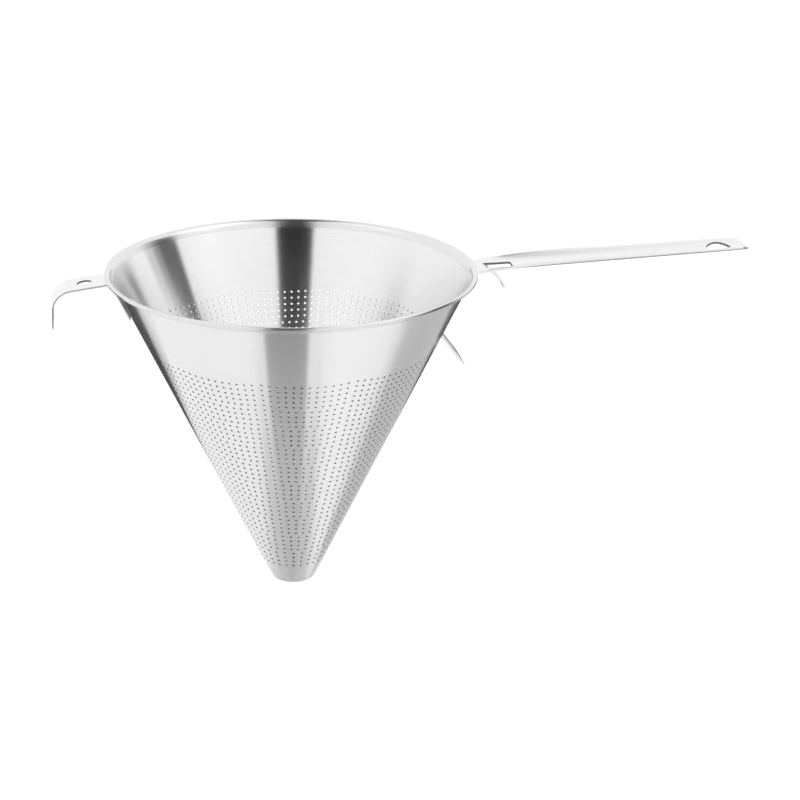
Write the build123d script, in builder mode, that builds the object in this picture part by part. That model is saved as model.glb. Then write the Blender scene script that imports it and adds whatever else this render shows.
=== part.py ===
from build123d import *
import math
import os

# Chinois strainer: a rolled sheet cone with a turned rim and a welded tip cap, held by a long dished
# strip handle on one side and a short hook strip on the other. Millimetres, Z up, the handle along +X.
# The origin is the centre of the rim's top plane.

# Cone and rim
rim_diameter = 240
depth = 220
flange_width = 3.2
tip_radius = 14.6
cone_sheet = 0.8
rim_bevel = 1
bead_width = 1.8
bead_height = 2.4
bead_bevel = 0.5
cap_height = 5
cap_bevel = 1.8

# Perforation, thinned out: square punches stand for the round ones, at six times their pitch
sector_count = 10
punch_width = 1.3
punch_pitch = 26
first_row_slant = 56

# Handle strip
handle_width = 27.4
handle_sheet = 1.5
handle_reach = 308
handle_rise_deg = 2.8
handle_dish = 4.1
neck_dish = 2.4
root_dish = 0.3
root_run = 1.5
neck_run = 20
dish_run = 42
handle_end_radius = 14.4
hang_hole_diameter = 16
hang_hole_setback = 20.2
rim_clearance = 0.4
bend_radius = 1.5

# Pan rests on the handle strip
slot_start = 6.7
slot_length = 18.6
slot_width = 10
slot_corner_radius = 1.5
tongue_width = 8.6
tongue_root_deg = 28
tongue_curl_deg = 36
tongue_curl_radius = 31
prong_depth = 45.4
prong_length = 27.7
prong_fall_deg = 53
prong_corner_radius = 3

# Helper hook strip
hook_width = 25
hook_sheet = 1.2
hook_reach = 33.2
hook_fall_deg = 8
hook_bend_radius = 14
hook_drop = 32.4
hook_lean_deg = 2
hook_leg_depth = 27
hook_hole_diameter = 8.8
hook_hole_offset = 12.7

# One overrun serves every cut
cut_overrun = 5

rim_radius = rim_diameter / 2
wall_rim_radius = rim_radius - flange_width
wall_slope = (wall_rim_radius - tip_radius) / depth
wall_angle = math.atan(wall_slope)
seat_height = -bead_height - rim_clearance

os.makedirs("parts", exist_ok=True)


def wall_point(height):
    """Point on the outer face of the cone wall, in the XZ plane."""
    return Vector(wall_rim_radius + wall_slope * height, height)


def heading(degrees):
    """Unit direction in a sketch, counter-clockwise from its X axis."""
    return Vector(math.cos(math.radians(degrees)), math.sin(math.radians(degrees)))


def sheet_profile(points, radii, sheet):
    """Side view of bent sheet: one face follows the points, the sheet lies on its left."""
    with BuildSketch(Plane.XZ) as profile:
        with BuildLine():
            face_line = FilletPolyline(*points, radius=radii)
            offset(face_line, amount=sheet, side=Side.LEFT)
        make_face()
    return profile.sketch


def turned_profile(points):
    """Half section of the cone's sheet: the outer face follows the points, the sheet lies on its left."""
    with BuildSketch(Plane.XZ) as profile:
        with BuildLine():
            face_line = Polyline(*points)
            offset(face_line, amount=cone_sheet, side=Side.LEFT, kind=Kind.INTERSECTION)
        make_face()
    return profile.sketch


# Sector punch: the holes of one sector, in rows that are straight on the flat blank before it is rolled
cap_joint = wall_point(cap_height - depth)
apex_slant = wall_rim_radius / math.sin(wall_angle)
first_row = apex_slant - first_row_slant
row_count = 1 + int((first_row - cap_joint.X / math.sin(wall_angle)) / punch_pitch - 1 / 2)
sector_deg = 360 / sector_count
with BuildPart() as sector_punch:
    for row in range(row_count):
        row_slant = first_row - row * punch_pitch
        sector_arc = row_slant * math.sin(wall_angle) * math.radians(sector_deg)
        row_holes = max(1, round(sector_arc / punch_pitch))
        for hole in range(row_holes):
            turn_deg = (hole / row_holes - 1 / 2) * sector_deg
            slant = row_slant / math.cos(math.radians(turn_deg) * math.sin(wall_angle))
            centre = wall_point((slant - apex_slant) * math.cos(wall_angle))
            turned_plane = Plane(
                origin=(0, 0, 0),
                x_dir=Vector(1, 0, 0).rotate(Axis.Z, turn_deg),
                z_dir=Vector(0, -1, 0).rotate(Axis.Z, turn_deg),
            )
            with BuildSketch(turned_plane):
                with Locations(centre):
                    Rectangle(2 * cut_overrun, punch_width)
            revolve(axis=Axis.Z, revolution_arc=math.degrees(punch_width / centre.X))

# Strainer cone: perforated wall, flange and rolled bead, turned as one sheet
with BuildPart() as strainer_cone:
    add(turned_profile([
        cap_joint,
        wall_point(-cone_sheet - rim_bevel),
        wall_point(-cone_sheet) + Vector(rim_bevel, 0),
        Vector(rim_radius - bead_width / 2, -cone_sheet),
    ]))
    revolve(axis=Axis.Z)
    with BuildSketch(Plane.XZ) as bead:
        with BuildLine():
            Polyline(
                (rim_radius - bead_width, 0),
                (rim_radius, 0),
                (rim_radius, -bead_height),
                (rim_radius - bead_width, -bead_height),
                close=True,
            )
        make_face()
        chamfer(bead.vertices().group_by(Axis.X)[-1], length=bead_bevel)
    revolve(axis=Axis.Z)
    with PolarLocations(0, sector_count):
        add(sector_punch.part, mode=Mode.SUBTRACT)
strainer_cone.part.label = "strainer_cone"
export_step(strainer_cone.part, "parts/strainer_cone.step")

# Tip cap: a pressed cup, butt-jointed to the end of the cone
with BuildPart() as tip_cap:
    add(turned_profile([
        Vector(0, -depth),
        Vector(tip_radius - cap_bevel, -depth),
        wall_point(cap_bevel - depth),
        cap_joint,
    ]))
    revolve(axis=Axis.Z)
tip_cap.part.label = "tip_cap"
export_step(tip_cap.part, "parts/tip_cap.step")

# Handle: one strip, from the dished blade under the rim, down the wall and out again as a prong
neck_direction = Vector(1, 0, 0)
blade_direction = neck_direction.rotate(Axis.Y, -handle_rise_deg)
neck_start = Vector(rim_radius, 0, seat_height)
blade_start = neck_start + neck_direction * neck_run
blade_length = (handle_reach - blade_start.X) / blade_direction.X
blade_plane = Plane(origin=blade_start, x_dir=blade_direction, z_dir=blade_direction.cross(Vector(0, 1, 0)))


def strip_section(centre, direction, dish):
    """Dished cross-section of the strip, square to its direction."""
    with BuildSketch(Plane(origin=centre, x_dir=(0, 1, 0), z_dir=direction)) as section:
        with BuildLine():
            dish_line = ThreePointArc((handle_width / 2, dish), (0, 0), (-handle_width / 2, dish))
            offset(dish_line, amount=handle_sheet, side=Side.LEFT)
        make_face()
    return section.sketch


def tongue_profile():
    """Side view of the tongue: bent down at the slot's rim end and curled towards its tip."""
    with BuildSketch(Plane.XZ) as profile:
        with BuildLine():
            root = Line(
                (rim_radius + slot_start - handle_sheet, seat_height),
                (rim_radius + slot_start, seat_height),
            )
            bend = JernArc(root @ 1, root % 1, bend_radius + handle_sheet, -tongue_root_deg)
            JernArc(bend @ 1, bend % 1, tongue_curl_radius, -tongue_curl_deg)
            offset(amount=handle_sheet, side=Side.RIGHT)
        make_face()
    return profile.sketch


def across(point):
    """The same point on the far side of the cone's axis."""
    return Vector(-point.X, point.Y)


wall_corner = wall_point(seat_height)
kick_corner = wall_point(-prong_depth)
prong_end = kick_corner + heading(-prong_fall_deg) * prong_length
root_section = strip_section(neck_start + neck_direction * root_run, neck_direction, root_dish)
neck_section = strip_section(blade_start, blade_direction, neck_dish)
blade_section = strip_section(blade_start + blade_direction * dish_run, blade_direction, handle_dish)
with BuildPart() as handle:
    loft(sections=[root_section, neck_section], ruled=True)
    loft(sections=[neck_section, blade_section], ruled=True)
    extrude(blade_section, amount=blade_length - dish_run)
    with BuildSketch(blade_plane):
        with Locations((blade_length, 0)):
            Rectangle(2 * handle_end_radius, handle_width + 2 * cut_overrun)
        with Locations((blade_length - handle_end_radius, 0)):
            Circle(handle_end_radius, mode=Mode.SUBTRACT)
    extrude(amount=handle_dish + cut_overrun, both=True, mode=Mode.SUBTRACT)
    extrude(
        sheet_profile(
            [Vector(rim_radius + 2 * root_run, seat_height), wall_corner, kick_corner, prong_end],
            bend_radius + handle_sheet,
            handle_sheet,
        ),
        amount=handle_width / 2,
        both=True,
    )
    prong_face = handle.faces().sort_by(Axis.Z)[0]
    fillet(prong_face.edges().sort_by(SortBy.LENGTH)[:2], radius=prong_corner_radius)
    with BuildSketch(Plane.XY.offset(seat_height)):
        with Locations((rim_radius + slot_start + slot_length / 2, 0)):
            RectangleRounded(slot_length, slot_width, slot_corner_radius)
    extrude(amount=handle_dish + cut_overrun, both=True, mode=Mode.SUBTRACT)
    with BuildSketch(blade_plane):
        with Locations((blade_length - hang_hole_setback, 0)):
            Circle(hang_hole_diameter / 2)
    extrude(amount=handle_dish + cut_overrun, both=True, mode=Mode.SUBTRACT)
    extrude(tongue_profile(), amount=tongue_width / 2, both=True)
handle.part.label = "handle"
export_step(handle.part, "parts/handle.step")

# Helper hook: a narrower strip opposite the handle, welded to the wall under the rim
hook_corner = Vector(
    rim_radius + hook_reach,
    seat_height - (rim_radius + hook_reach - wall_corner.X) * math.tan(math.radians(hook_fall_deg)),
)
hook_tip = hook_corner + heading(hook_lean_deg - 90) * (hook_drop + hook_corner.Y)
with BuildPart() as helper_hook:
    extrude(
        sheet_profile(
            [across(wall_point(-hook_leg_depth)), across(wall_corner), across(hook_corner), across(hook_tip)],
            [bend_radius + hook_sheet, hook_bend_radius],
            hook_sheet,
        ),
        amount=hook_width / 2,
        both=True,
    )
    with BuildSketch(Plane.XY):
        with Locations((-rim_radius - hook_hole_offset, 0)):
            Circle(hook_hole_diameter / 2)
    extrude(amount=-hook_drop, mode=Mode.SUBTRACT)
helper_hook.part.label = "helper_hook"
export_step(helper_hook.part, "parts/helper_hook.step")
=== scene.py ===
import math

import bpy
import numpy as np
from mathutils import Matrix, Vector
from mathutils.geometry import delaunay_2d_cdt


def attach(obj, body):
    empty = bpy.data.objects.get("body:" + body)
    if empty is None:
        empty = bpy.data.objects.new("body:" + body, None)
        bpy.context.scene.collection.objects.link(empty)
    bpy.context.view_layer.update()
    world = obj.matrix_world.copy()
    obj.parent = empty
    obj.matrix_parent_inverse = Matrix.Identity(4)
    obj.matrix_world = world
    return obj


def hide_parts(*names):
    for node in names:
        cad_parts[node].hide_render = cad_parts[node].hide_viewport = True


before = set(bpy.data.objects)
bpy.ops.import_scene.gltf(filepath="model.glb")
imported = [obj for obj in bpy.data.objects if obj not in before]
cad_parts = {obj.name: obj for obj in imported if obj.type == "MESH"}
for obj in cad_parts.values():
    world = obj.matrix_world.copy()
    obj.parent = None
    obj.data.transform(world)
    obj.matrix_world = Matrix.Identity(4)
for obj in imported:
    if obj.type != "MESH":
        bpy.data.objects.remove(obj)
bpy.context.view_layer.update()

# Strainer cone, wall: a stainless blank of ten equal sectors, punched with straight rows of small holes,
# rolled into a cone, seam-welded along one line and brushed round and round.
MM = 0.001
rim_plane_radius = 116.8 * MM
tip_plane_radius = 14.6 * MM
cone_depth = 220 * MM
cone_sheet = 0.8 * MM
cap_height = 5 * MM
flange_bend_radius = 3.6 * MM
flare_radius = 20 * MM
flare_turn = math.radians(10)
half_angle = math.atan((rim_plane_radius - tip_plane_radius) / cone_depth)
wall_sin = math.sin(half_angle)
wall_cos = math.cos(half_angle)
slant_to_rim = rim_plane_radius / wall_sin
flare_drop = (flare_radius - flange_bend_radius) * math.sin(half_angle + flare_turn)
flare_middle_height = -cone_sheet - flange_bend_radius - flare_drop
wall_top_height = flare_middle_height + flare_radius * wall_sin
slant_at_top = slant_to_rim + wall_top_height / wall_cos
slant_at_cap = slant_to_rim - (cone_depth - cap_height) / wall_cos
sector_count = 10
sector_angle = math.tau / sector_count
hole_diameter = 1.5 * MM
hole_corners = 12
row_pitch = 4.2975 * MM
first_row_slant = 51.8 * MM
holes_in_first_row = 12
rows_before_first_drop = 5
rows_per_drop = 4
row_count = 41
sector_margin_angle = math.radians(0.65)
cut_margin_angle = math.radians(2.6)
cut_slant_count = 56
cut_turn_count = 16
fill_clearance = 0.8 * hole_diameter
probe_step = 2e-6
merge_distance = 1e-9
rounded_edge_rings = 4


def formed_sheet(name, outline, holes, fill, form, sheet, edge=0.0, flip=False):
    """Mesh of a flat blank, bent by form, with its thickness, rounded edges and holes whose sides take a second
    material, the dark one with painted shade.
    """
    def placed(flat, depth, tilt=None, away=None):
        at = form(flat)
        along = form(flat + (probe_step, 0)) - form(flat - (probe_step, 0))
        across = form(flat + (0, probe_step)) - form(flat - (0, probe_step))
        face = np.cross(along, across)
        face /= np.linalg.norm(face, axis=1)[:, None] * (-1 if flip else 1)
        point = at - face * depth
        if away is None:
            return point, face
        out = form(flat + away * probe_step) - at
        out -= face * np.sum(out * face, axis=1)[:, None]
        out /= np.linalg.norm(out, axis=1)[:, None]
        return point, face * math.cos(tilt) + out * math.sin(tilt)

    turns = np.linspace(0, math.pi / 2, rounded_edge_rings) if edge else np.array([math.pi / 2])
    rings = [(edge * (1 - math.sin(a)), edge * (1 - math.cos(a)), a) for a in turns]
    rings += [(inset, sheet - depth, math.pi - a) for inset, depth, a in reversed(rings)]
    loops = [np.array(outline)] + [np.array(h) for h in holes]
    points, normals, faces, face_normals, hole_sides = [], [], [], [], []
    count = 0
    flat_points, owner, edges = [], [], []
    for number, loop in enumerate(loops):
        travel = np.roll(loop, -1, axis=0) - np.roll(loop, 1, axis=0)
        travel /= np.linalg.norm(travel, axis=1)[:, None]
        away = np.stack([travel[:, 1], -travel[:, 0]], axis=1)
        size = len(loop)
        first = len(flat_points)
        flat_points.extend(loop - away * rings[0][0])
        owner.extend([number] * size)
        edges.extend((first + k, first + (k + 1) % size) for k in range(size))
        for inset, depth, tilt in rings:
            point, normal = placed(loop - away * inset, depth, tilt, away)
            points.extend(point)
            normals.extend(normal)
        for ring in range(len(rings) - 1):
            for k in range(size):
                a = count + ring * size + k
                b = count + ring * size + (k + 1) % size
                quad = [a, b, b + size, a + size]
                if not flip:
                    quad.reverse()
                faces.append(quad)
                face_normals.append([normals[v] for v in quad])
                hole_sides.append(number > 0)
        count += size * len(rings)
    flat_points.extend(fill)
    owner.extend([-1] * len(fill))
    flat_outline = np.array(flat_points[:len(outline)])
    cut = delaunay_2d_cdt([Vector(p) for p in flat_points], edges, [], 0, merge_distance)
    flat = np.array([tuple(p) for p in cut[0]])
    owner = [owner[o[0]] if o else -1 for o in cut[3]]
    for depth, turned in ((0.0, flip), (sheet, not flip)):
        point, normal = placed(flat, depth)
        if depth:
            normal = -normal
        points.extend(point)
        for triangle in cut[2]:
            owners = {owner[v] for v in triangle}
            flat_triangle = flat[list(triangle)]
            if owners == {0} and (thin(flat_triangle) or outside(flat_triangle, flat_outline)):
                continue
            if len(owners) == 1 and min(owners) > 0:
                continue
            corners = list(triangle)
            if turned:
                corners.reverse()
            faces.append([count + v for v in corners])
            face_normals.append([normal[v] for v in corners])
            hole_sides.append(False)
        count += len(flat)
    return finished_mesh(name, points, faces, face_normals, hole_sides)


def thin(triangle):
    """Whether a triangle has no height, as along a straight side of the blank."""
    sides = np.roll(triangle, -1, axis=0) - triangle
    twice_area = abs(sides[0, 0] * sides[1, 1] - sides[0, 1] * sides[1, 0])
    return twice_area < 1e-6 * np.linalg.norm(sides, axis=1).max()


def outside(triangle, outline):
    """Whether a triangle's middle lies outside the outline of the blank."""
    middle = triangle.mean(axis=0)
    start, end = outline, np.roll(outline, -1, axis=0)
    crosses = (start[:, 1] > middle[1]) != (end[:, 1] > middle[1])
    rise = np.where(crosses, end[:, 1] - start[:, 1], 1)
    reach = start[:, 0] + (middle[1] - start[:, 1]) / rise * (end[:, 0] - start[:, 0])
    return np.count_nonzero(crosses & (middle[0] < reach)) % 2 == 0


def finished_mesh(name, points, faces, face_normals, hole_sides):
    """A shown piece from points, faces, the normal at each corner of each face and the sides of its holes."""
    mesh = bpy.data.meshes.new(name)
    mesh.from_pydata([tuple(p) for p in points], [], faces)
    mesh.polygons.foreach_set("use_smooth", [True] * len(faces))
    mesh.polygons.foreach_set("material_index", hole_sides)
    mesh.normals_split_custom_set([tuple(n) for corners in face_normals for n in corners])
    piece = bpy.data.objects.new(name, mesh)
    bpy.context.scene.collection.objects.link(piece)
    return piece


def round_loop(centre, radius, corners):
    """Points of a round hole in a blank, clockwise."""
    turn = -np.arange(corners) / corners * math.tau
    return np.array(centre) + radius * np.stack([np.cos(turn), np.sin(turn)], axis=1)


def rolled(flat):
    """Blank to cone: distance from the apex stays, the angle opens out."""
    slant = np.hypot(flat[:, 0], flat[:, 1])
    turn = np.arctan2(flat[:, 1], flat[:, 0]) / wall_sin
    return np.stack([
        slant * wall_sin * np.cos(turn),
        slant * wall_sin * np.sin(turn),
        (slant - slant_to_rim) * wall_cos,
    ], axis=1)


def blank_point(slant, turn):
    """Point of the flat blank for a distance from the apex and an angle on the cone."""
    return np.stack([slant * np.cos(turn * wall_sin), slant * np.sin(turn * wall_sin)], axis=-1)


def sector_holes():
    """Slant and angle from the sector's middle of each hole in one sector."""
    found = []
    for row in range(row_count):
        drop = 0 if row < rows_before_first_drop else 1 + (row - rows_before_first_drop) // rows_per_drop
        number = holes_in_first_row - drop
        along_middle = slant_to_rim - first_row_slant - row * row_pitch
        for hole in range(number):
            turn = hole * (sector_angle - sector_margin_angle) / number - sector_angle / 2
            found.append((along_middle / math.cos(turn * wall_sin), turn))
    return np.array(found)


cut_turn = sector_angle / 2 - cut_margin_angle
cut_slants = np.linspace(slant_at_cap, slant_at_top, cut_slant_count)
cut_turns = np.linspace(cut_turn - sector_angle, cut_turn, cut_turn_count)
sector_outline = np.concatenate([
    blank_point(cut_slants, np.full(cut_slant_count, cut_turn - sector_angle)),
    blank_point(np.full(cut_turn_count - 2, slant_at_top), cut_turns[1:-1]),
    blank_point(cut_slants[::-1], np.full(cut_slant_count, cut_turn)),
    blank_point(np.full(cut_turn_count - 2, slant_at_cap), cut_turns[-2:0:-1]),
])
hole_places = sector_holes()
sector_hole_loops = [round_loop(blank_point(s, t), hole_diameter / 2, hole_corners) for s, t in hole_places]
hole_middles = blank_point(hole_places[:, 0], hole_places[:, 1])
fill_slants, fill_turns = np.meshgrid(cut_slants[1:-1], cut_turns[1:-1])
sector_fill = blank_point(fill_slants.ravel(), fill_turns.ravel())
clear = np.linalg.norm(sector_fill[:, None] - hole_middles[None], axis=2).min(axis=1) > fill_clearance
sector_wall = formed_sheet(
    "sector_wall", sector_outline, sector_hole_loops, sector_fill[clear], rolled, cone_sheet, flip=True,
)

sector_mesh = sector_wall.data
sector_points = np.array([v.co for v in sector_mesh.vertices])
sector_faces = [list(f.vertices) for f in sector_mesh.polygons]
sector_hole_sides = [f.material_index for f in sector_mesh.polygons]
sector_normals = np.array([tuple(c.vector) for c in sector_mesh.corner_normals])
wall_points, wall_faces, wall_normals, hole_sides = [], [], [], []
for sector in range(sector_count):
    turn = sector_angle / 2 + sector * sector_angle
    turned = np.array(Matrix.Rotation(turn, 3, "Z"))
    base = len(sector_points) * sector
    wall_points.extend(sector_points @ turned.T)
    normals = sector_normals @ turned.T
    corner = 0
    for number, face in enumerate(sector_faces):
        if number >= len(sector_outline):
            wall_faces.append([base + v for v in face])
            wall_normals.append(normals[corner:corner + len(face)])
            hole_sides.append(sector_hole_sides[number])
        corner += len(face)
bpy.data.objects.remove(sector_wall)
cone_wall = finished_mesh("cone_wall", wall_points, wall_faces, wall_normals, hole_sides)


def brushed_finish():
    """Node group for brushed steel: fine lines along one direction and slow clouds over them."""
    group = bpy.data.node_groups.new("brushed_finish", "ShaderNodeTree")
    for label, kind, value in (
        ("Position", "NodeSocketVector", None),
        ("Line Scale", "NodeSocketVector", None),
        ("Cloud Scale", "NodeSocketFloat", 20.0),
        ("Darkest", "NodeSocketFloat", 0.8),
        ("Lightest", "NodeSocketFloat", 0.9),
        ("Smoothest", "NodeSocketFloat", 0.2),
        ("Roughest", "NodeSocketFloat", 0.3),
    ):
        socket = group.interface.new_socket(name=label, in_out="INPUT", socket_type=kind)
        if value is not None:
            socket.default_value = value
    for label, kind in (("Tone", "NodeSocketColor"), ("Roughness", "NodeSocketFloat"), ("Height", "NodeSocketFloat")):
        group.interface.new_socket(name=label, in_out="OUTPUT", socket_type=kind)
    cloud_share = 0.35
    noise_low, noise_high = 0.3, 0.7
    nodes, links = group.nodes, group.links
    given = nodes.new("NodeGroupInput")
    result = nodes.new("NodeGroupOutput")
    stretch = nodes.new("ShaderNodeVectorMath")
    stretch.operation = "MULTIPLY"
    links.new(given.outputs["Position"], stretch.inputs[0])
    links.new(given.outputs["Line Scale"], stretch.inputs[1])
    lines = nodes.new("ShaderNodeTexNoise")
    lines.inputs["Scale"].default_value = 1.0
    lines.inputs["Detail"].default_value = 3.0
    links.new(stretch.outputs[0], lines.inputs["Vector"])
    clouds = nodes.new("ShaderNodeTexNoise")
    clouds.inputs["Detail"].default_value = 2.0
    links.new(given.outputs["Position"], clouds.inputs["Vector"])
    links.new(given.outputs["Cloud Scale"], clouds.inputs["Scale"])
    mixed = nodes.new("ShaderNodeMix")
    mixed.data_type = "FLOAT"
    mixed.inputs["Factor"].default_value = cloud_share
    links.new(lines.outputs["Fac"], mixed.inputs["A"])
    links.new(clouds.outputs["Fac"], mixed.inputs["B"])
    tone = nodes.new("ShaderNodeMapRange")
    tone.inputs["From Min"].default_value = noise_low
    tone.inputs["From Max"].default_value = noise_high
    links.new(mixed.outputs["Result"], tone.inputs["Value"])
    links.new(given.outputs["Darkest"], tone.inputs["To Min"])
    links.new(given.outputs["Lightest"], tone.inputs["To Max"])
    grey = nodes.new("ShaderNodeCombineColor")
    for channel in ("Red", "Green", "Blue"):
        links.new(tone.outputs["Result"], grey.inputs[channel])
    rough = nodes.new("ShaderNodeMapRange")
    rough.inputs["From Min"].default_value = noise_low
    rough.inputs["From Max"].default_value = noise_high
    links.new(mixed.outputs["Result"], rough.inputs["Value"])
    links.new(given.outputs["Smoothest"], rough.inputs["To Max"])
    links.new(given.outputs["Roughest"], rough.inputs["To Min"])
    links.new(grey.outputs["Color"], result.inputs["Tone"])
    links.new(rough.outputs["Result"], result.inputs["Roughness"])
    links.new(lines.outputs["Fac"], result.inputs["Height"])
    return group


finish_group = brushed_finish()


def steel(name, line_scale, cloud_scale, tones, roughness, anisotropy, brushed_round, relief):
    """Brushed stainless steel, or with dark tones the hole sides' steel that carries painted shade. Its lines run
    round the Z axis, or else along the strip.
    """
    material = bpy.data.materials.new(name)
    material.use_nodes = True
    nodes, links = material.node_tree.nodes, material.node_tree.links
    shader = nodes["Principled BSDF"]
    shader.inputs["Metallic"].default_value = 1.0
    shader.inputs["Anisotropic"].default_value = anisotropy
    shader.inputs["Anisotropic Rotation"].default_value = 0.25 if brushed_round else 0.0
    place = nodes.new("ShaderNodeTexCoord")
    finish = nodes.new("ShaderNodeGroup")
    finish.node_tree = finish_group
    finish.inputs["Line Scale"].default_value = line_scale
    finish.inputs["Cloud Scale"].default_value = cloud_scale
    finish.inputs["Darkest"].default_value = tones[0]
    finish.inputs["Lightest"].default_value = tones[1]
    finish.inputs["Smoothest"].default_value = roughness[0]
    finish.inputs["Roughest"].default_value = roughness[1]
    links.new(place.outputs["Object"], finish.inputs["Position"])
    links.new(finish.outputs["Tone"], shader.inputs["Base Color"])
    links.new(finish.outputs["Roughness"], shader.inputs["Roughness"])
    bump = nodes.new("ShaderNodeBump")
    bump.inputs["Strength"].default_value = relief
    bump.inputs["Distance"].default_value = 0.05 * MM
    links.new(finish.outputs["Height"], bump.inputs["Height"])
    links.new(bump.outputs["Normal"], shader.inputs["Normal"])
    tangent = nodes.new("ShaderNodeTangent")
    tangent.direction_type = "RADIAL"
    tangent.axis = "Z" if brushed_round else "Y"
    links.new(tangent.outputs["Tangent"], shader.inputs["Tangent"])
    return material


wall_steel = steel("wall_steel", (40, 40, 5000), 12, (0.86, 0.93), (0.19, 0.24), 1.0, True, 0.04)
# The sides of the wall's small holes get a near-black steel: painted shade that stands in for the dark inside of each
# hole, not the cut metal's own colour.
painted_hole_shade_steel = steel("painted_hole_shade_steel", (900, 900, 900), 300, (0.03, 0.1), (0.5, 0.65), 0.0, True, 0.3)
cone_wall.data.materials.append(wall_steel)
cone_wall.data.materials.append(painted_hole_shade_steel)
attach(cone_wall, "root")
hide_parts("strainer_cone")

# Strainer cone, rim: the top of the same sheet. It flares a little, is turned out to a flat flange and is
# rolled over at its edge into a bead, so that no cut edge is left to touch.
rim_radius = 120 * MM
bead_width = 1.8 * MM
bead_height = 2.4 * MM
bead_top_round = 0.7 * MM
bead_bottom_round = 0.9 * MM
turning_steps = 360
crease_angle = math.radians(35)


def arc(centre, radius, start_deg, end_deg, steps):
    """Points of an arc in a profile, first and last included."""
    turn = np.radians(np.linspace(start_deg, end_deg, steps + 1))
    return [(centre[0] + radius * math.cos(a), centre[1] + radius * math.sin(a)) for a in turn]


def turned_piece(name, profile):
    """A closed profile of radius and height, turned round the Z axis."""
    profile = np.array(profile)
    turn = np.arange(turning_steps) / turning_steps * math.tau
    points = np.stack([
        np.outer(np.cos(turn), profile[:, 0]),
        np.outer(np.sin(turn), profile[:, 0]),
        np.tile(profile[:, 1], (turning_steps, 1)),
    ], axis=2).reshape(-1, 3)
    size = len(profile)
    faces = []
    for step in range(turning_steps):
        after = (step + 1) % turning_steps
        for k in range(size):
            beyond = (k + 1) % size
            faces.append([step * size + k, after * size + k, after * size + beyond, step * size + beyond])
    mesh = bpy.data.meshes.new(name)
    mesh.from_pydata([tuple(p) for p in points], [], faces)
    mesh.polygons.foreach_set("use_smooth", [True] * len(faces))
    mesh.set_sharp_from_angle(angle=crease_angle)
    piece = bpy.data.objects.new(name, mesh)
    bpy.context.scene.collection.objects.link(piece)
    return piece


flare_middle = (
    rim_plane_radius + math.tan(half_angle) * flare_middle_height + flare_radius / wall_cos,
    flare_middle_height,
)
flange_middle = (
    flare_middle[0] - (flare_radius - flange_bend_radius) * math.cos(half_angle + flare_turn),
    flare_middle[1] + flare_drop,
)
wall_side_deg = 180 - math.degrees(half_angle)
flare_side_deg = wall_side_deg - math.degrees(flare_turn)
bead_side_deg = math.degrees(math.acos((rim_radius - bead_width - flange_middle[0]) / flange_bend_radius))
rim_profile = (
    arc(flare_middle, flare_radius, wall_side_deg, flare_side_deg, 5)
    + arc(flange_middle, flange_bend_radius, flare_side_deg, bead_side_deg, 8)[1:]
    + [(rim_radius - bead_width, -bead_height + 0.4 * MM)]
    + arc((rim_radius - bead_bottom_round, -bead_height + bead_bottom_round), bead_bottom_round, -110, 0, 8)
    + arc((rim_radius - bead_top_round, -bead_top_round), bead_top_round, 0, 90, 6)
    + arc(flange_middle, flange_bend_radius + cone_sheet, 90, flare_side_deg, 10)
    + arc(flare_middle, flare_radius + cone_sheet, flare_side_deg, wall_side_deg, 5)[1:]
)
cone_rim = turned_piece("cone_rim", rim_profile)
rim_steel = steel("rim_steel", (40, 40, 4000), 12, (0.77, 0.83), (0.2, 0.26), 0.6, True, 0.05)
cone_rim.data.materials.append(rim_steel)
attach(cone_rim, "root")
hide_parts("strainer_cone")

# Tip cap: a small pressed stainless cup with a rounded bottom edge. It closes the end of the rolled cone,
# welded to it all round, and the joint is ground flush and brushed over.
cap_corner_radius = 3 * MM
cap_bottom_gap = 0.02 * MM


def cap_side(sheet_side, corner):
    """One face of the cup: down the wall, round the corner and in to the middle of the bottom."""
    bottom = -cone_depth + sheet_side
    shift = -sheet_side / wall_cos
    at_bottom = tip_plane_radius + shift + math.tan(half_angle) * sheet_side
    reach = corner * math.tan((math.pi / 2 - half_angle) / 2)
    centre = (at_bottom - reach, bottom + corner)
    top = -(cone_depth - cap_height) + sheet_side * wall_sin
    wall_top = (rim_plane_radius + math.tan(half_angle) * top + shift, top)
    return [wall_top] + arc(centre, corner, -math.degrees(half_angle), -90, 10) + [(cap_bottom_gap, bottom)]


cap_profile = cap_side(0, cap_corner_radius)[::-1] + cap_side(cone_sheet, cap_corner_radius - cone_sheet)
tip_cup = turned_piece("tip_cup", cap_profile)
tip_cup.data.materials.append(wall_steel)
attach(tip_cup, "root")
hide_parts("tip_cap")

# Handle: one long stainless strip, dished along its length, bent down the cone and spot-welded to it,
# and kicked out again as a prong. A tongue is lanced out of its slot to hold it on a pan's edge.
handle_width = 27.4 * MM
handle_sheet = 1.5 * MM
handle_reach = 308 * MM
handle_rise = math.radians(2.8)
handle_full_dish = 4.1 * MM
dish_start_run = 22 * MM
dish_power = 1.3
neck_run = 20 * MM
seat_height = -bead_height - 0.4 * MM
strip_bend_radius = 1.5 * MM
handle_end_radius = 14.4 * MM
hang_hole_radius = 8 * MM
hang_hole_setback = 20.2 * MM
slot_start = 6.7 * MM
slot_length = 18.6 * MM
slot_width = 10 * MM
slot_corner_radius = 1.5 * MM
prong_depth = 45.4 * MM
prong_length = 27.7 * MM
prong_fall = math.radians(53)
prong_corner_radius = 3 * MM
strip_edge_radius = 0.3 * MM
strip_spacing = 1.6 * MM
strip_margin = 0.6 * strip_spacing
strip_rows = 17
neck_bend_radius = 120 * MM
past_leg_share = 0.3
handle_probe_count = 4000
hang_hole_corners = 48
flat_dish = 0.001 * MM


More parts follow.
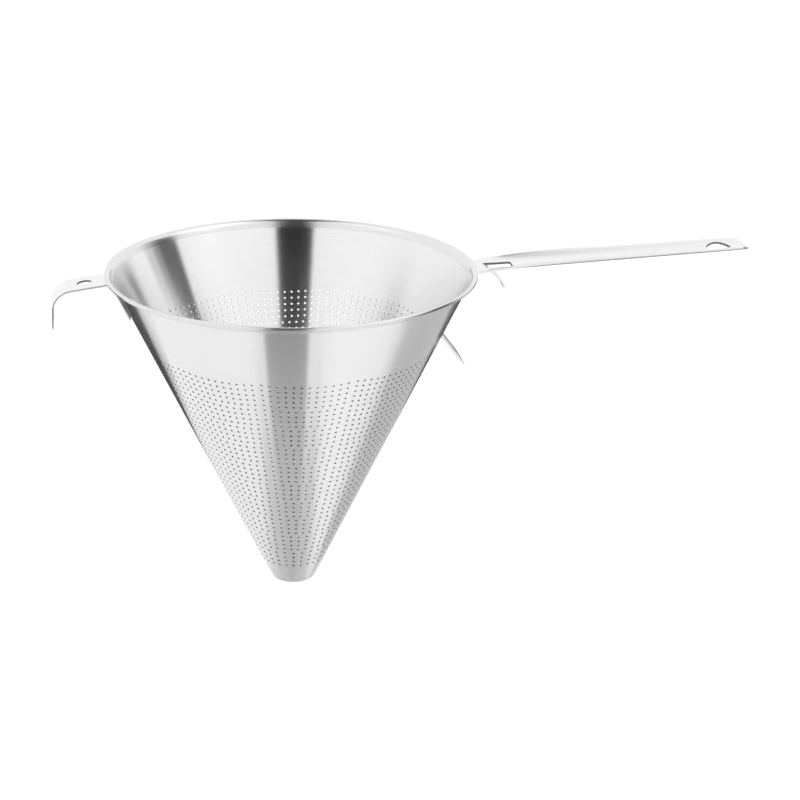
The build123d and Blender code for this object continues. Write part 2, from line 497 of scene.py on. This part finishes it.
def bent_line(corners, radii):
    """A line with rounded corners, as straight and curved runs measured along it."""
    corners = [np.array(c, float) for c in corners]
    runs = []
    start = corners[0]
    length = 0.0
    for before, corner, after, radius in zip(corners, corners[1:], corners[2:], radii):
        come = (corner - before) / np.linalg.norm(corner - before)
        leave = (after - corner) / np.linalg.norm(after - corner)
        turn = math.atan2(come[0] * leave[1] - come[1] * leave[0], come @ leave)
        setback = radius * math.tan(abs(turn) / 2)
        straight = np.linalg.norm(corner - come * setback - start)
        runs.append((length, straight, start, come, 0.0))
        length += straight
        curved = radius * abs(turn)
        runs.append((length, curved, corner - come * setback, come, math.copysign(1 / radius, turn)))
        length += curved
        start = corner + leave * setback
    come = (corners[-1] - start) / np.linalg.norm(corners[-1] - start)
    runs.append((length, np.linalg.norm(corners[-1] - start), start, come, 0.0))
    return runs


def along_line(runs, distance):
    """Points and directions at distances along a bent line."""
    at = np.zeros((len(distance), 2))
    heading = np.zeros((len(distance), 2))
    for number, (begin, size, start, come, curve) in enumerate(runs):
        last = number == len(runs) - 1
        everywhere = np.full(len(distance), True)
        here = (distance >= begin if number else everywhere) & (everywhere if last else distance < begin + size)
        run = distance[here] - begin
        left = np.array([-come[1], come[0]])
        if curve:
            turn = run * curve
            at[here] = start + np.outer(np.sin(turn) / curve, come) + np.outer((1 - np.cos(turn)) / curve, left)
            heading[here] = np.outer(np.cos(turn), come) + np.outer(np.sin(turn), left)
        else:
            at[here] = start + np.outer(run, come)
            heading[here] = come
    return at, heading


def wall_place(height):
    """Radius and height of the cone's outer face."""
    return np.array([rim_plane_radius + math.tan(half_angle) * height, height])


def line_length(runs):
    """Length of a bent line."""
    return runs[-1][0] + runs[-1][1]


def strip_fill(outline, holes, spacing, margin):
    """A regular grid of points inside a strip's blank, clear of its outline and holes."""
    low, high = outline.min(axis=0), outline.max(axis=0)
    rows = np.linspace(low[1], high[1], strip_rows + 2)[1:-1]
    along, across = np.meshgrid(np.arange(low[0], high[0], spacing), rows)
    grid = np.stack([along.ravel(), across.ravel()], axis=1)
    kept = []
    for point in grid:
        near = min(np.linalg.norm(loop - point, axis=1).min() for loop in [outline, *holes])
        inside = not outside(point[None], outline) and all(outside(point[None], hole) for hole in holes)
        if near > margin and inside:
            kept.append(point)
    return np.array(kept)


def dense_loop(points, spacing):
    """A closed outline with more points along its long sides."""
    result = []
    for start, end in zip(points, np.roll(points, -1, axis=0)):
        steps = max(1, round(np.linalg.norm(end - start) / spacing))
        result.extend(start + (end - start) * k / steps for k in range(steps))
    return np.array(result)


blade_heading = np.array([math.cos(handle_rise), math.sin(handle_rise)])
blade_start = np.array([rim_radius + neck_run, seat_height])
blade_length = (handle_reach - blade_start[0]) / blade_heading[0]
wall_corner = wall_place(seat_height)
kick_corner = wall_place(-prong_depth)
prong_end = kick_corner + prong_length * np.array([math.cos(prong_fall), -math.sin(prong_fall)])
strip_outer_bend = strip_bend_radius + handle_sheet
handle_line = bent_line(
    [prong_end, kick_corner, wall_corner, blade_start, blade_start + blade_heading * blade_length],
    [strip_outer_bend, strip_outer_bend, neck_bend_radius],
)
handle_length = line_length(handle_line)
handle_probe = np.linspace(0, handle_length, handle_probe_count)
handle_probe_at = along_line(handle_line, handle_probe)[0]


def dish_at(radius):
    """How deep the strip is dished at a distance from the cone's axis."""
    run = np.maximum(radius - rim_radius, flat_dish) / dish_start_run
    return handle_full_dish * (1 - np.exp(-run ** dish_power)) + flat_dish


def bent_handle(flat):
    """Blank to handle: bent along its line and dished across."""
    at, heading = along_line(handle_line, flat[:, 0])
    blade = flat[:, 0] > handle_length - blade_length - neck_run
    dish = np.where(blade, dish_at(at[:, 0]), flat_dish)
    curl = (handle_width ** 2 / 4 + dish ** 2) / (2 * dish)
    lift = curl - np.sqrt(curl ** 2 - flat[:, 1] ** 2)
    up = np.stack([-heading[:, 1], heading[:, 0]], axis=1)
    place = at + up * lift[:, None]
    return np.stack([place[:, 0], flat[:, 1], place[:, 1]], axis=1)


def handle_station(radius):
    """Distance along the strip where its blade is at that radius."""
    later = handle_probe > handle_length * past_leg_share
    return float(np.interp(radius, handle_probe_at[later, 0], handle_probe[later]))


half_width = handle_width / 2
end_centre = handle_length - handle_end_radius
end_half_turn = math.degrees(math.asin(half_width / handle_end_radius))
handle_outline = dense_loop(np.array(
    arc((prong_corner_radius, -half_width + prong_corner_radius), prong_corner_radius, 180, 270, 6)
    + arc((end_centre, 0), handle_end_radius, -end_half_turn, end_half_turn, 40)
    + arc((prong_corner_radius, half_width - prong_corner_radius), prong_corner_radius, 90, 180, 6)
), strip_spacing)
slot_near = handle_station(rim_radius + slot_start)
slot_far = slot_near + slot_length
slot_half = slot_width / 2
slot_loop = dense_loop(np.array(
    arc((slot_near + slot_corner_radius, slot_half - slot_corner_radius), slot_corner_radius, 180, 90, 5)
    + arc((slot_far - slot_corner_radius, slot_half - slot_corner_radius), slot_corner_radius, 90, 0, 5)
    + arc((slot_far - slot_corner_radius, -slot_half + slot_corner_radius), slot_corner_radius, 0, -90, 5)
    + arc((slot_near + slot_corner_radius, -slot_half + slot_corner_radius), slot_corner_radius, -90, -180, 5)
), strip_spacing)
hang_loop = round_loop((handle_length - hang_hole_setback, 0), hang_hole_radius, hang_hole_corners)
handle_holes = [slot_loop, hang_loop]
handle_strip = formed_sheet(
    "handle_strip", handle_outline, handle_holes,
    strip_fill(handle_outline, handle_holes, strip_spacing, strip_margin),
    bent_handle, handle_sheet, strip_edge_radius,
)
strip_steel = steel("strip_steel", (30, 3500, 30), 25, (0.87, 0.93), (0.24, 0.32), 0.5, False, 0.12)
# The sides of the handle's slot and hang hole, and of the hook's hole, get a dark steel: painted shade for the
# shadowed cut walls, not the cut metal's own colour.
painted_cut_shade_steel = steel("painted_cut_shade_steel", (900, 900, 900), 200, (0.12, 0.25), (0.4, 0.5), 0.0, False, 0.3)
handle_strip.data.materials.append(strip_steel)
handle_strip.data.materials.append(painted_cut_shade_steel)
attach(handle_strip, "root")
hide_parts("handle")

# Tongue: the metal lanced out of the handle's slot, still one piece with it at the rim end. It is bent down
# there and curled towards its tip, to hold the strainer on a pan's edge.
tongue_width = 8.6 * MM
tongue_root_turn = 28
tongue_curl_turn = 36
tongue_curl_radius = 31 * MM
tongue_corner_radius = 1.2 * MM
tongue_outline_spacing = 0.8 * MM
tongue_fill_spacing = 1.0 * MM
tongue_fill_margin = 0.5 * MM
tongue_root =(rim_radius + slot_start - handle_sheet, seat_height)
root_curve = -1 / strip_outer_bend
curl_curve = -1 / tongue_curl_radius
tongue_line = [(0.0, handle_sheet, np.array(tongue_root), np.array([1.0, 0.0]), 0.0)]
for bend_curve, bend_turn in ((root_curve, tongue_root_turn), (curl_curve, tongue_curl_turn)):
    bend_begin = tongue_line[-1][0] + tongue_line[-1][1]
    bend_at, bend_heading = along_line(tongue_line, np.array([bend_begin - 1e-9]))
    bend_size = math.radians(bend_turn) / abs(bend_curve)
    tongue_line.append((bend_begin, bend_size, bend_at[0], bend_heading[0], bend_curve))
tongue_length = line_length(tongue_line)


def bent_tongue(flat):
    """Blank to tongue: bent along its line, flat across."""
    at = along_line(tongue_line, flat[:, 0])[0]
    return np.stack([at[:, 0], flat[:, 1], at[:, 1]], axis=1)


tongue_half = tongue_width / 2
tongue_outline = dense_loop(np.array(
    [(0.0, -tongue_half)]
    + arc((tongue_length - tongue_corner_radius, tongue_corner_radius - tongue_half), tongue_corner_radius, -90, 0, 5)
    + arc((tongue_length - tongue_corner_radius, tongue_half - tongue_corner_radius), tongue_corner_radius, 0, 90, 5)
    + [(0.0, tongue_half)]
), tongue_outline_spacing)
handle_tongue = formed_sheet(
    "handle_tongue", tongue_outline, [],
    strip_fill(tongue_outline, [], tongue_fill_spacing, tongue_fill_margin),
    bent_tongue, handle_sheet, strip_edge_radius,
)
handle_tongue.data.materials.append(strip_steel)
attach(handle_tongue, "root")
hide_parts("handle")

# Helper hook: a narrower, thinner stainless strip opposite the handle, bent down to hook on a pan's edge,
# with one round hole and a short leg spot-welded to the cone.
hook_width = 25 * MM
hook_sheet = 1.2 * MM
hook_reach = 33.2 * MM
hook_fall = math.radians(8)
hook_bend_radius = 14 * MM
hook_drop = 32.4 * MM
hook_lean = math.radians(2)
hook_leg_depth = 27 * MM
hook_hole_radius = 4.4 * MM
hook_hole_offset = 12.7 * MM
hook_corner_round = 2 * MM
hook_fill_spacing = 1.2 * MM
hook_fill_margin = 0.8 * MM
hook_probe_count = 2000
hook_hole_corners = 36
hook_corner =np.array([
    rim_radius + hook_reach,
    seat_height - (rim_radius + hook_reach - wall_corner[0]) * math.tan(hook_fall),
])
hook_tip = hook_corner + (hook_drop + hook_corner[1]) * np.array([math.sin(hook_lean), -math.cos(hook_lean)])
hook_line = bent_line(
    [wall_place(-hook_leg_depth), wall_corner, hook_corner, hook_tip],
    [strip_bend_radius + hook_sheet, hook_bend_radius],
)
hook_length = line_length(hook_line)


def bent_hook(flat):
    """Blank to hook: bent along its line, on the far side from the handle."""
    at = along_line(hook_line, flat[:, 0])[0]
    return np.stack([-at[:, 0], flat[:, 1], at[:, 1]], axis=1)


hook_half = hook_width / 2
hook_probe = np.linspace(0, hook_length, hook_probe_count)
hook_probe_at = along_line(hook_line, hook_probe)[0]
hook_flat = hook_probe_at[:, 1] > hook_corner[1] - 1 * MM
hook_hole_reach = rim_radius + hook_hole_offset
hook_hole_station = float(np.interp(hook_hole_reach, hook_probe_at[hook_flat, 0], hook_probe[hook_flat]))
hook_outline = dense_loop(np.array(
    [(0.0, -hook_half)]
    + arc((hook_length - hook_corner_round, hook_corner_round - hook_half), hook_corner_round, -90, 0, 6)
    + arc((hook_length - hook_corner_round, hook_half - hook_corner_round), hook_corner_round, 0, 90, 6)
    + [(0.0, hook_half)]
), strip_spacing)
hook_hole = round_loop((hook_hole_station, 0), hook_hole_radius, hook_hole_corners)
hook_strip = formed_sheet(
    "hook_strip", hook_outline, [hook_hole],
    strip_fill(hook_outline, [hook_hole], hook_fill_spacing, hook_fill_margin),
    bent_hook, hook_sheet, strip_edge_radius, flip=True,
)
hook_strip.data.materials.append(strip_steel)
# The sides of its hole take the dark steel with painted shade.
hook_strip.data.materials.append(painted_cut_shade_steel)
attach(hook_strip, "root")
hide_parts("helper_hook")

# Studio: a white paper floor under the hanging strainer, a plain white surround and two weak softboxes.
# Dark and grey cards stand and lie around, seen in reflections only: they give the bright steel its stripes.
floor_height = -0.34
floor_size = 8.0
paper_white = 0.95
floor_glow = 0.15
softbox_size = 1.0
softbox_height = 1.6


def card(name, corners, tone):
    """A flat card that only reflections see."""
    mesh = bpy.data.meshes.new(name)
    mesh.from_pydata(corners, [], [list(range(len(corners)))])
    piece = bpy.data.objects.new(name, mesh)
    bpy.context.scene.collection.objects.link(piece)
    material = bpy.data.materials.new(name)
    material.use_nodes = True
    nodes, links = material.node_tree.nodes, material.node_tree.links
    nodes.clear()
    glow = nodes.new("ShaderNodeEmission")
    glow.inputs["Color"].default_value = (tone, tone, tone, 1)
    out = nodes.new("ShaderNodeOutputMaterial")
    links.new(glow.outputs[0], out.inputs["Surface"])
    mesh.materials.append(material)
    piece.visible_camera = False
    piece.visible_shadow = False
    piece.visible_diffuse = False
    return piece


camera_turn = math.radians(-96.56)


def standing_card(name, low_deg, low_sides, high_deg, high_sides, tone, distance=1.4):
    """A card that stands round the object, by its heights and its sides as angles from the camera."""
    places = [(low_sides[0], low_deg), (low_sides[1], low_deg), (high_sides[1], high_deg), (high_sides[0], high_deg)]
    turns = [camera_turn + math.radians(side) for side, rise in places]
    heights = [distance * math.tan(math.radians(rise)) for side, rise in places]
    corners = [(distance * math.cos(turn), distance * math.sin(turn), height) for turn, height in zip(turns, heights)]
    return card(name, corners, tone)


def level_card(name, corners, height, tone):
    """A card that lies level. Its corners are measured towards the camera and to the right of it."""
    ahead = Vector((math.cos(camera_turn), math.sin(camera_turn), 0))
    right = Vector((-ahead.y, ahead.x, 0))
    lift = Vector((0, 0, height))
    return card(name, [ahead * toward + right * aside + lift for toward, aside in corners], tone)


standing_card("front_card", -12, (-13.5, 9.9), 69, (-22.5, 17.9), 0.01)
level_card("overhead_strip", [(1.36, 0.44), (1.36, -0.6), (-2.5, -0.6), (-2.5, 0.44)], 3.6, 0.01)
level_card("front_strip", [(0.3, -0.108), (0.3, 0.06), (1.35, 0.22), (1.35, -0.39)], floor_height + 2 * MM, 0.2)
level_card("near_strip", [(0.18, -0.076), (0.18, 0.042), (0.3, 0.06), (0.3, -0.108)], floor_height + 2 * MM, 0.35)
level_card("under_strip", [(-0.1, -0.1), (-0.1, 0.08), (0.16, 0.08), (0.16, -0.1)], floor_height + 3 * MM, 0.55)
level_card("right_reflector", [(0.08, 0.12), (0.08, 0.32), (0.5, 0.5), (0.5, 0.14)], floor_height + 2 * MM, 1.0)
standing_card("right_card", -12, (78, 95), 36, (97, 115), 0.03)
standing_card("right_side_card", -12, (95, 101), 37, (115, 122), 0.25)
standing_card("right_edge_card", -12, (101, 109), 38, (122, 132), 0.62)
level_card(
    "right_strip", [(0.02, 0.33), (-0.03, 0.1), (-0.14, 0.1), (-1.2, 0.5), (-1.2, 1.2), (0.3, 1.2)],
    floor_height + 2 * MM, 0.57,
)
level_card("left_strip", [(-0.2, -0.33), (-0.3, -0.25), (-0.7, -0.5), (-0.7, -0.9)], floor_height + 3 * MM, 0.5)
level_card("back_strip", [
    (-0.33, -0.6), (-0.33, -0.28), (-0.45, 0), (-0.45, 0.4),
    (-1.8, 1.4), (-1.8, -0.45), (-0.95, -0.28), (-0.95, -0.8),
], floor_height + 4 * MM, 0.02)
standing_card("back_card", -12, (166, 197), 5, (166, 197), 0.01, 1.9)
level_card("end_strip", [(0.5, 0.9), (-0.5, 0.9), (-0.5, 1.8), (0.5, 1.8)], floor_height + 5 * MM, 0.01)

floor_mesh = bpy.data.meshes.new("studio_floor")
floor_corners = [(x * floor_size, y * floor_size, floor_height) for x, y in ((-1, -1), (1, -1), (1, 1), (-1, 1))]
floor_mesh.from_pydata(floor_corners, [], [[0, 1, 2, 3]])
floor = bpy.data.objects.new("studio_floor", floor_mesh)
bpy.context.scene.collection.objects.link(floor)
floor_paper = bpy.data.materials.new("floor_paper")
floor_paper.use_nodes = True
nodes, links = floor_paper.node_tree.nodes, floor_paper.node_tree.links
shader = nodes["Principled BSDF"]
shader.inputs["Base Color"].default_value = (paper_white, paper_white, paper_white, 1)
shader.inputs["Roughness"].default_value = 1.0
shader.inputs["Specular IOR Level"].default_value = 0.0
path = nodes.new("ShaderNodeLightPath")
shader.inputs["Emission Color"].default_value = (1, 1, 1, 1)
share = nodes.new("ShaderNodeMath")
share.operation = "MULTIPLY"
share.inputs[1].default_value = floor_glow
links.new(path.outputs["Is Camera Ray"], share.inputs[0])
links.new(share.outputs[0], shader.inputs["Emission Strength"])
floor_mesh.materials.append(floor_paper)

world = bpy.data.worlds.new("studio_white")
bpy.context.scene.world = world
world.use_nodes = True
surround = world.node_tree.nodes["Background"]
surround.inputs["Color"].default_value = (1, 1, 1, 1)
surround.inputs["Strength"].default_value = 1.0

for softbox_name, softbox_power, softbox_side in (("right_softbox", 2.0, 0.95), ("left_softbox", 0.6, -0.95)):
    lamp = bpy.data.lights.new(softbox_name, "AREA")
    lamp.size = softbox_size
    lamp.energy = softbox_power
    softbox = bpy.data.objects.new(softbox_name, lamp)
    softbox.location = (-math.sin(camera_turn) * softbox_side, math.cos(camera_turn) * softbox_side, softbox_height)
    softbox.rotation_euler = (-Vector(softbox.location)).to_track_quat("-Z", "Y").to_euler()
    bpy.context.scene.collection.objects.link(softbox)

# Camera: the photograph's place, turn and lens, fitted to the rim, the cone's outline and its rows of holes.
# It looks down into the cone a little, from the side of the hook, with the handle to the right.
camera_data = bpy.data.cameras.new("photo_camera")
camera_data.sensor_width = 36
camera_data.lens = 79.2
camera = bpy.data.objects.new("photo_camera", camera_data)
camera.location = (-0.1246, -1.0840, 0.3351)
camera_pitch = math.radians(90 - 21.33)
camera_yaw = math.radians(-10.3)
camera_roll = math.radians(1.15)
camera.rotation_euler = (
    Matrix.Rotation(camera_yaw, 3, "Z") @ Matrix.Rotation(camera_pitch, 3, "X") @ Matrix.Rotation(camera_roll, 3, "Z")
).to_euler()
camera_data.clip_start = 0.01
camera_data.clip_end = 50
bpy.context.scene.collection.objects.link(camera)
bpy.context.scene.camera = camera
bpy.context.scene.view_settings.view_transform = "Standard"
